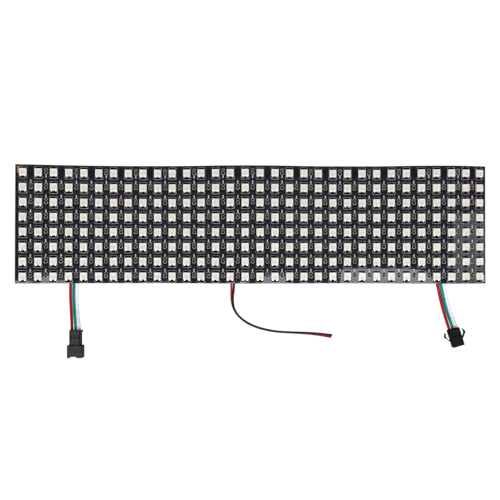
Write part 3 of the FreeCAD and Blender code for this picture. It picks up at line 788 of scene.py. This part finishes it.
CORE = 2.05 * MM
POWER_CORE = 1.5 * MM
STRANDS = 7
STRAND_SIDES = 8
STRAND_RADIUS = 0.13
STRAND_SPREAD = 0.27
ROUTES = {
    "hooded_lead_red": (CORE, 0.0389, [
        (-0.1234, -0.036, 0.00245), (-0.1234, -0.0415, 0.00245), (-0.1238, -0.0505, 0.00108),
        (-0.12305, -0.0615, 0.00115), (-0.1221, -0.0699, 0.0034), (-0.1221, -0.0745, 0.0034)]),
    "hooded_lead_green": (CORE, 0.0389, [
        (-0.12125, -0.036, 0.00212), (-0.12125, -0.0415, 0.00212), (-0.12165, -0.0505, 0.00108),
        (-0.12092, -0.0615, 0.00115), (-0.1196, -0.0699, 0.0034), (-0.1196, -0.0745, 0.0034)]),
    "hooded_lead_white": (CORE, 0.0389, [
        (-0.1191, -0.036, 0.0018), (-0.1191, -0.0415, 0.0018), (-0.1195, -0.0505, 0.00108),
        (-0.1188, -0.0615, 0.00115), (-0.1171, -0.0699, 0.0034), (-0.1171, -0.0745, 0.0034)]),
    "latch_lead_red": (CORE, 0.0398, [
        (0.1243, -0.036, 0.00335), (0.12565, -0.0415, 0.00335), (0.1277, -0.0497, 0.0014),
        (0.13035, -0.0597, 0.00108), (0.13307, -0.06923, 0.0027), (0.13459, -0.0742, 0.0027)]),
    "latch_lead_green": (CORE, 0.0391, [
        (0.12653, -0.036, 0.0034), (0.12778, -0.0415, 0.0034), (0.12983, -0.0497, 0.0014),
        (0.1324, -0.0594, 0.00108), (0.13546, -0.0685, 0.0027), (0.13698, -0.07347, 0.0027)]),
    "latch_lead_white": (CORE, 0.0385, [
        (0.12868, -0.036, 0.0034), (0.12992, -0.0415, 0.0034), (0.13196, -0.0497, 0.0014),
        (0.13452, -0.0591, 0.00108), (0.13785, -0.06777, 0.0027), (0.13937, -0.07274, 0.0027)]),
    "power_lead_black": (POWER_CORE, 0.0939, [
        (-0.0125, -0.036, 0.00384), (-0.0124, -0.0425, 0.00384), (-0.0137, -0.0505, 0.0033),
        (-0.0124, -0.0587, 0.0026), (-0.0062, -0.0655, 0.00245), (0.0029, -0.07, 0.00245),
        (0.0154, -0.0728, 0.0024), (0.0298, -0.0733, 0.00235), (0.0435, -0.0738, 0.0022),
        (0.0541, -0.0751, 0.002)]),
    "power_lead_red": (POWER_CORE, 0.095, [
        (-0.0143, -0.036, 0.00374), (-0.0142, -0.0425, 0.00374), (-0.0145, -0.0506, 0.00195),
        (-0.0126, -0.0588, 0.001), (-0.0061, -0.0656, 0.00082), (0.003, -0.0701, 0.0008),
        (0.0155, -0.0729, 0.0008), (0.0299, -0.0736, 0.00082), (0.0435, -0.0746, 0.00082),
        (0.0536, -0.0765, 0.0008)]),
}
SKINS = {"red": ((168, 18, 28), (148, 12, 22)), "green": ((0, 132, 124), (0, 116, 110)),
         "white": ((234, 238, 246), (222, 228, 240)), "black": ((22, 22, 24), (17, 17, 19))}


def skin_finish(name, pair):
    """Soft extruded plastic, a little uneven in tone and gloss along its length."""
    skin, maker, shader = new_finish(name, Specular_IOR_Level=0.15)
    place = maker.object_place()
    cloud = maker.noise(place, 160, 2.0)
    grain = maker.noise(place, 2500, 2.0)
    maker.feed(shader, {
        "Base Color": maker.mix(maker.fade(cloud, 0.3, 0.7), colour(*pair[0]), colour(*pair[1])),
        "Roughness": 0.28 + cloud * 0.16,
        "Normal": maker.bump(grain, 0.015 * MM),
    })
    return skin


def draw_core(name, route, diameter, finish):
    curve = bpy.data.curves.new(name, "CURVE")
    curve.dimensions = "3D"
    curve.bevel_depth = diameter / 2
    curve.bevel_resolution = 5
    curve.use_fill_caps = True
    curve.resolution_u = 10
    spline = curve.splines.new("NURBS")
    spline.points.add(len(route) - 1)
    for place, point in zip(spline.points, route):
        place.co = (*point, 1)
    spline.order_u = 3
    spline.use_endpoint_u = True
    curve.materials.append(finish)
    return new_piece(name, curve)


def strand_shape(ends):
    """Seven cut strands just showing at each bare end, given as its place and its heading."""
    builder = bmesh.new()
    for place, heading in ends:
        turned = heading.to_track_quat("Z", "X")
        for number in range(STRANDS):
            turn = math.radians(60 * number)
            spread = STRAND_SPREAD if number else 0
            middle = Vector((spread * math.cos(turn), spread * math.sin(turn), 0))
            rings = []
            for z in (-0.4, 0.12):
                turns = [2 * math.pi * side / STRAND_SIDES for side in range(STRAND_SIDES)]
                rim = [Vector((STRAND_RADIUS * math.cos(t), STRAND_RADIUS * math.sin(t), z)) for t in turns]
                rings.append([place + turned @ ((middle + point) * MM) for point in rim])
            tower(builder, rings)
    return to_mesh(builder, "strands")


skins = {name: skin_finish(f"{name}_insulation", pair) for name, pair in SKINS.items()}
for name, (diameter, _, route) in ROUTES.items():
    shade = name.rsplit("_", 1)[1]
    core = draw_core(f"{name}_insulated", route, diameter, skins[shade])
    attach(core, "root")
    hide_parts(f"{name}_core")
bare_ends = []
for name in ("power_lead_red", "power_lead_black"):
    before, end = (Vector(point) for point in ROUTES[name][2][-2:])
    bare_ends.append((end, (end - before).normalized()))
power_strands = new_piece("power_strands", strand_shape(bare_ends))
power_strands.data.materials.append(bare_metal_finish("strand_copper", (226, 150, 104), (186, 112, 72)))
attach(power_strands, "root")


# The connectors
# Moulded nylon housings for three crimped contacts each. The left one is a dark grey block with a hood
# round its pins, and the right one a black plug with a springy latch arm at each side.


def nylon_finish(name, base, worn, roughness, painted_step_shade=None):
    """Matt nylon. Painted shade darkens two strips along Y beside the housing's steps, given by their
    middle, their way out and an end.
    """
    nylon, maker, shader = new_finish(name, Specular_IOR_Level=0.15)
    place = maker.object_place()
    spark = maker.noise(place, 3200, 3.0)
    cloud = maker.noise(place, 300, 2.0)
    shade = maker.mix(maker.fade(cloud, 0.3, 0.8), colour(*base), colour(*worn))
    if painted_step_shade:
        middle, out, end = painted_step_shade
        spot = maker.add("ShaderNodeSeparateXYZ", {}, {"Vector": place})
        # Painted shade: the strips beside the housing's steps are darkened towards near black.
        shaded_strip = 1 - maker.fade(abs(abs(spot.of("X") - middle) - out), 0.26 * MM, 0.42 * MM)
        shade = maker.mix(shaded_strip * (spot.of("Y") > end) * 0.85, shade, colour(6, 6, 8))
    maker.feed(shader, {
        "Base Color": shade,
        "Roughness": roughness - 0.08 + cloud * 0.16,
        "Normal": maker.bump(spark, 0.02 * MM),
    })
    return nylon


def soften(name, node, finish):
    """A copy of a moulded solid with its edges rounded as a mould leaves them."""
    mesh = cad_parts[node].data.copy()
    builder = bmesh.new()
    builder.from_mesh(mesh)
    bmesh.ops.remove_doubles(builder, verts=builder.verts, dist=0.002 * MM)
    bmesh.ops.dissolve_limit(builder, angle_limit=math.radians(1), verts=builder.verts, edges=builder.edges)
    builder.to_mesh(mesh)
    builder.free()
    mesh.materials.clear()
    mesh.materials.append(finish)
    piece = new_piece(name, mesh)
    bevel = piece.modifiers.new("mould_edges", "BEVEL")
    bevel.width = MOULD_EDGE
    bevel.segments = 2
    bevel.limit_method = "ANGLE"
    bevel.angle_limit = math.radians(30)
    bevel.harden_normals = True
    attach(piece, "root")
    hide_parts(node)
    return piece


MOULD_EDGE = 0.15 * MM
# The painted shade on the hooded housing: the middle, the way out to the steps and where the strips end.
HOOD_PAINTED_SHADE = (-119.6 * MM, 3.3 * MM, -81.7 * MM)
grey_nylon = nylon_finish("grey_nylon", (48, 48, 51), (54, 54, 57), 0.5, HOOD_PAINTED_SHADE)
black_nylon = nylon_finish("black_nylon", (6, 6, 9), (10, 10, 13), 0.42)
hooded = soften("hooded_housing", "hooded_connector_housing", grey_nylon)
latch = soften("latch_housing", "latch_connector_housing", black_nylon)
for node in ("hooded_connector_pins", "latch_connector_sockets"):
    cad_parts[node].data.materials.clear()
    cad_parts[node].data.materials.append(tin)


# The solder under the near edge
# The cores are soldered to tinned pads on the back of the sheet. Each pad holds a smooth mound of solder,
# in line with its core.


def solder_shape(routes):
    """The pads and mounds of one lead, drawn flat below the back of the sheet."""
    builder = bmesh.new()
    for route in routes:
        start, following = Vector(route[0]), Vector(route[1])
        foot = Vector((along_at(start.x), start.y, 0))
        back = (start - following).to_2d().normalized()
        across = Vector((back.y, -back.x))

        def ring(half_wide, near, far, z, squareness):
            points = []
            for number in range(RING_POINTS):
                turn = -2 * math.pi * number / RING_POINTS
                c, s = math.cos(turn), math.sin(turn)
                reach = (abs(c) ** squareness + abs(s) ** squareness) ** (-1 / squareness)
                out = max(0.0, (near + far) / 2 + reach * s * (far - near) / 2)
                flat = across * (reach * c * half_wide) + back * out
                points.append(foot + Vector((flat.x, flat.y, z)) * MM)
            return points

        tower(builder, [ring(1.0, 0, 3.4, 0, 6), ring(1.0, 0, 3.4, -0.03, 6)])
        tower(builder, [ring(0.9, -0.6, 3.1, -0.03, 3), ring(0.85, -0.6, 2.9, -0.55, 2.4),
                        ring(0.66, -0.5, 2.4, -1.0, 2.2), ring(0.32, -0.3, 1.8, -1.25, 2)])
    bmesh.ops.recalc_face_normals(builder, faces=builder.faces)
    return to_mesh(builder, "solder")


for lead in ("hooded_lead", "latch_lead", "power_lead"):
    routes = [route for name, (_, _, route) in ROUTES.items() if name.startswith(lead)]
    mounds = lay(f"{lead}_mounds", solder_shape(routes), tin)
    smooth(mounds, 50)
    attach(mounds, "root")
    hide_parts(f"{lead}_solder")


# The stage
# A plain white table, wide studio light with a strip and a card for the glare on the sheet, and the camera
# straight above as in the photograph.


def make_floor():
    """A grey table that the camera sees as white, but for the shadow on it."""
    builder = bmesh.new()
    reach, down = 3.0, 0.1 * MM
    builder.faces.new([builder.verts.new((x * reach, y * reach, -down))
                       for x, y in ((-1, -1), (1, -1), (1, 1), (-1, 1))])
    floor = new_piece("table", to_mesh(builder, "table"))
    white = bpy.data.materials.new("table_white")
    white.use_nodes = True
    tree = white.node_tree
    maker = Maker(tree)
    shader = tree.nodes["Principled BSDF"]
    maker.feed(shader, {"Base Color": colour(110, 110, 112), "Roughness": 0.8})
    rays = maker.add("ShaderNodeLightPath", {}, {})
    glow = maker.add("ShaderNodeEmission", {}, {"Color": (1, 1, 1, 1), "Strength": 1.25})
    grey = Wire(maker, shader, shader.outputs[0])
    whitened = rays.of("Is Camera Ray") * 0.83
    mixed = maker.add("ShaderNodeMixShader", {}, {0: whitened, 1: grey, 2: glow})
    maker.feed(tree.nodes["Material Output"], {"Surface": mixed})
    floor.data.materials.append(white)


def make_world():
    """The camera sees white. The object is lit by a dim room, which is darkest above and beyond it."""
    world = bpy.data.worlds.new("studio")
    world.use_nodes = True
    bpy.context.scene.world = world
    tree = world.node_tree
    maker = Maker(tree)
    rays = maker.add("ShaderNodeLightPath", {}, {})
    direction = maker.add("ShaderNodeTexCoord", {}, {}, "Generated")
    heading = maker.add("ShaderNodeSeparateXYZ", {}, {"Vector": direction})
    beyond = maker.fade(heading.of("Y"), -0.6, 0.1)
    sideways = maker.mix(beyond, (0.45, 0.45, 0.47, 1), (0.05, 0.05, 0.052, 1))
    level = maker.mix(maker.fade(heading.of("Z"), 0.5, 0.95), sideways, (0.03, 0.03, 0.032, 1))
    shown = maker.mix(rays.of("Is Camera Ray"), level, (1, 1, 1, 1))
    maker.feed(tree.nodes["Background"], {"Color": shown, "Strength": 1.0})


def add_softbox(name, place, size, power, target=(0, -0.02, 0), tint=(1, 1, 1)):
    lamp = bpy.data.lights.new(name, "AREA")
    lamp.color = tint
    lamp.shape = "RECTANGLE"
    lamp.size, lamp.size_y = size
    lamp.energy = power
    softbox = bpy.data.objects.new(name, lamp)
    softbox.location = place
    aim = Vector(target) - Vector(place)
    softbox.rotation_euler = aim.to_track_quat("-Z", "Y").to_euler()
    softbox.visible_camera = False
    bpy.context.scene.collection.objects.link(softbox)


make_floor()
make_world()
add_softbox("front_softbox", (0.0, -1.0, 1.0), (1.6, 0.5), 25)
add_softbox("right_softbox", (1.35, 0.2, 0.4), (0.3, 0.8), 2.4)
add_softbox("left_softbox", (-1.35, 0.2, 0.4), (0.3, 0.8), 2.4)
add_softbox("overhead_strip", (0.08, -0.166, 1.1), (0.62, 0.17), 1.72,
            target=(0.08, -0.166, 0), tint=(0.93, 0.97, 1.1))
add_softbox("right_card", (1.045, 0.0, 1.005), (0.18, 0.92), 0.8)

camera_data = bpy.data.cameras.new("camera")
camera_data.sensor_width = 36
camera_data.lens = 52.72
camera = bpy.data.objects.new("camera", camera_data)
camera.location = (-0.00363, -0.02268, 0.49997)
camera.rotation_euler = (math.radians(0.62), math.radians(-0.22), math.radians(0.05))
bpy.context.scene.collection.objects.link(camera)
bpy.context.scene.camera = camera
bpy.context.scene.view_settings.view_transform = "Standard"

bpy.data.objects.remove(profile)
